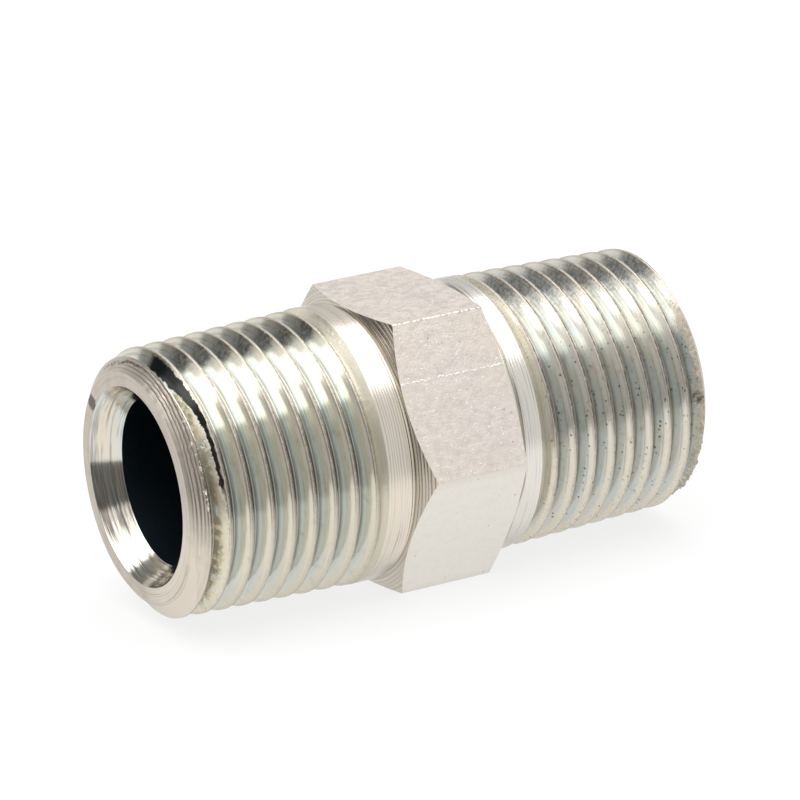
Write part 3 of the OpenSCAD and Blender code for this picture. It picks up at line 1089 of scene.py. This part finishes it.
def white_backdrop(context, stage):
    """White to the camera and in reflections, a plain grey sky for everything else."""
    world = bpy.data.worlds.new("studio")
    world.use_nodes = True
    tree = world.node_tree
    background = tree.nodes["Background"]
    background.inputs["Color"].default_value = linear("#FFFFFF")
    strength = add_node(tree, "MapRange", (seen_rays(tree), 0, 1, stage.sky, 1))
    tree.links.new(strength, background.inputs["Strength"])
    context.scene.world = world


def stage_piece(bm, name, material):
    piece = piece_from(bm, name)
    piece.data.materials.append(material)
    return piece


def floor_material(stage):
    """A white table top, matt, that keeps a soft shadow of the part."""
    material = bpy.data.materials.new("white_table")
    material.use_nodes = True
    tree = material.node_tree
    shader = tree.nodes["Principled BSDF"]
    shader.inputs["Base Color"].default_value = linear("#FFFFFF")
    shader.inputs["Roughness"].default_value = 1
    shader.inputs["Specular IOR Level"].default_value = 0
    share = times(tree, seen_rays(tree), stage.table_glow)
    mixed = add_node(tree, "MixShader", (share, shader.outputs[0], add_node(tree, "Emission")))
    tree.links.new(mixed, tree.nodes["Material Output"].inputs["Surface"])
    return material


def add_floor(stage):
    """The table top in two pieces: the one past the table's end stays out of reflections."""
    material = floor_material(stage)
    ahead = direction(stage.table_turn, 0)
    for name, clear in (("floor", "clear_outer"), ("floor_ahead", "clear_inner")):
        bm = bmesh.new()
        bmesh.ops.create_grid(bm, x_segments=1, y_segments=1, size=1)
        bmesh.ops.translate(bm, verts=bm.verts, vec=(0, 0, NODE_LOW.z))
        bmesh.ops.bisect_plane(bm, geom=bm.verts[:] + bm.edges[:] + bm.faces[:],
                               plane_co=ahead * stage.table_end, plane_no=ahead, **{clear: True})
        piece = stage_piece(bm, name, material)
        piece.visible_glossy = name == "floor"


# Studio cards that show only in reflections: name, first and last direction, lowest and highest
# place seen from the part, all in degrees, and how bright the card is
CARDS = [
    ("front_card", -62, -21, -30, 31, 0.18),
    ("front_middle_card", -21, 2, -30, 40, 0.72),
    ("front_right_card", 2, 60, -30, 50, 0.78),
    ("left_low_card", -100, -62, -18, 28, 0.56),
    ("left_card", -134, -100, -3, 22, 0.26),
    ("back_left_card", -162, -131, 15, 50, 0.3),
    ("back_card", -180, -162, 28, 52, 0.34),
    ("right_card", 115, 140, -3, 46, 0.8),
    ("back_right_card", 140, 180, -3, 54, 0.66),
]


def card_material(name, brightness):
    """A studio card of one shade, which glows so that no lamp changes it."""
    material = bpy.data.materials.new(name)
    material.use_nodes = True
    tree = material.node_tree
    glow = add_node(tree, "Emission", {"Strength": brightness})
    tree.links.new(glow, tree.nodes["Material Output"].inputs["Surface"])
    return material


def add_card(distance, name, first, last, low, high, brightness):
    """A card bent round the part between two directions and two heights."""
    bm = bmesh.new()
    bmesh.ops.create_grid(bm, x_segments=12, y_segments=6, size=1)
    for vert in bm.verts:
        turn = first + (last - first) * (vert.co.x + 1) / 2
        rise = low + (high - low) * (vert.co.y + 1) / 2
        vert.co = direction(math.radians(turn), math.radians(rise)) * distance
    card = stage_piece(bm, name, card_material(name, brightness))
    card.visible_camera = False
    card.visible_diffuse = False
    card.visible_shadow = False
    card.visible_transmission = False
    card.visible_volume_scatter = False


# Soft lamps: name, direction and height seen from the part in degrees, distance and width in metres
LAMPS = [
    ("top_lamp", 0, 90, 0.3, 0.4),
    ("left_lamp", -107, 32, 0.3, 0.09),
]


def add_lamp(context, name, turn, rise, distance, width, radiance):
    """A square soft lamp that points at the part and looks as bright as radiance."""
    data = bpy.data.lights.new(name, "AREA")
    data.shape = "SQUARE"
    data.size = width
    data.energy = radiance * math.pi * width ** 2
    lamp = bpy.data.objects.new(name, data)
    towards = direction(math.radians(turn), math.radians(rise))
    lamp.location = towards * distance
    lamp.rotation_euler = towards.to_track_quat("Z", "Y").to_euler()
    lamp.visible_camera = False
    context.scene.collection.objects.link(lamp)


class NIPPLE_OT_stage(bpy.types.Operator):
    """Set up the floor, the lamps, the backdrop and the camera"""

    bl_idname = "nipple.stage"
    bl_label = "Set stage"

    def execute(self, context):
        stage = context.scene.nipple_stage
        place_camera(context, stage)
        white_backdrop(context, stage)
        add_floor(stage)
        for card in CARDS:
            add_card(stage.card_distance, *card)
        for lamp in LAMPS:
            add_lamp(context, *lamp, getattr(stage, lamp[0]))
        context.scene.view_settings.view_transform = "Standard"
        return {"FINISHED"}


class NIPPLE_PT_panel(bpy.types.Panel):
    """Lists the sizes and the steps of the nipple"""

    bl_idname = "NIPPLE_PT_panel"
    bl_label = "Hexagon pipe nipple"
    bl_space_type = "VIEW_3D"
    bl_region_type = "UI"
    bl_category = "Nipple"

    def draw(self, context):
        for operator in OPERATORS:
            self.layout.operator(operator.bl_idname)
        for name, group in GROUPS.items():
            box = self.layout.box()
            values = getattr(context.scene, name)
            for field in group.__annotations__:
                box.prop(values, field)


OPERATORS = (NIPPLE_OT_threads, NIPPLE_OT_hexagon, NIPPLE_OT_bore, NIPPLE_OT_weld, NIPPLE_OT_stage)
GROUPS = {
    "nipple_thread": NippleThreadSizes,
    "nipple_body": NippleBodySizes,
    "nipple_looks": NippleLooks,
    "nipple_stage": NippleStage,
}


def register():
    for item in (*GROUPS.values(), *OPERATORS, NIPPLE_PT_panel):
        bpy.utils.register_class(item)
    for name, group in GROUPS.items():
        setattr(bpy.types.Scene, name, PointerProperty(type=group))


def unregister():
    for name in GROUPS:
        delattr(bpy.types.Scene, name)
    for item in (NIPPLE_PT_panel, *reversed(OPERATORS), *reversed(GROUPS.values())):
        bpy.utils.unregister_class(item)


def main():
    register()
    bpy.ops.nipple.threads()
    bpy.ops.nipple.hexagon()
    bpy.ops.nipple.bore()
    bpy.ops.nipple.weld()
    bpy.ops.nipple.stage()


if __name__ == "__main__":
    main()
